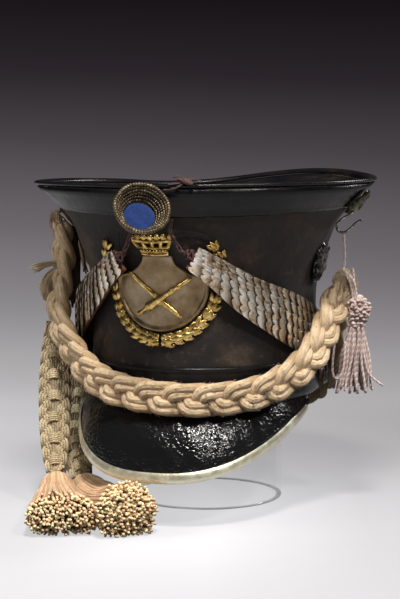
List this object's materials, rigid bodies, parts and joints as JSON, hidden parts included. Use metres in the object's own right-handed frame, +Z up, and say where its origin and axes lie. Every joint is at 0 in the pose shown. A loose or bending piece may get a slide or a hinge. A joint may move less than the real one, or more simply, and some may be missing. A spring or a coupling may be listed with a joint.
{
  "type": "shako hat on a clear tube stand",
  "caption": "Tall flared shako with peak, plate, cockade, chin scales, plaited festoon cords and tassels, on a clear tube stand.",
  "frame": {"origin": "on the floor, under the middle of all but the hanging cords: midway between the cockade's front and the rim's back", "axes": "+Z up, -Y towards the hat's front, +X to the right of someone who faces the front"},
  "size_m": [0.2652, 0.3147, 0.2544],
  "materials": {
    "felt": "worn felt",
    "top_leather": "black, slightly glossy",
    "peak_leather": "black, crackled",
    "nickel": "pale, tarnished",
    "silver": "tarnished silver",
    "gilt": "gilt",
    "lace": "metal lace",
    "blue_cloth": "matt",
    "strap_leather": "matt",
    "scale_metal": "silvered",
    "bronze": "dark, tarnished",
    "braid": "plaited cord",
    "straw_cord": "woven cord",
    "tassel": "cut strings",
    "pink_cord": "twisted cord",
    "thong": "matt",
    "clear": "clear"
  },
  "bodies": {
    "root": {"felt_body": "felt", "crown_top": "top_leather", "rim_binding": "top_leather", "upper_band": "top_leather", "lower_band": "top_leather", "peak": "peak_leather", "peak_trim": "nickel", "plate_shield": "silver", "plate_crown": "gilt", "plate_wreath": "gilt", "plate_sword": "gilt", "plate_cannon": "gilt", "cockade_cup": "lace", "cockade_centre": "blue_cloth", "strap_right": "strap_leather", "strap_left": "strap_leather", "scales_right": "scale_metal", "scales_left": "scale_metal", "ear_boss_right": "bronze", "ear_boss_left": "bronze", "lion_boss_right": "bronze", "lion_boss_left": "bronze", "hook_boss_right": "bronze", "hook_boss_left": "bronze", "hook_right": "bronze", "hook_left": "bronze", "front_festoon": "braid", "back_festoon": "braid", "festoon_tuft": "braid", "oval_front": "straw_cord", "oval_rear": "straw_cord", "tassel_front": "tassel", "tassel_rear": "tassel", "small_tassel": "pink_cord", "oval_cord_front": "straw_cord", "oval_cord_rear": "straw_cord", "hook_cord_right": "pink_cord", "hook_cord_left": "braid", "thong_right": "thong", "thong_left": "thong", "rim_knot": "thong", "stand_tube": "clear"}
  },
  "joints": []
}
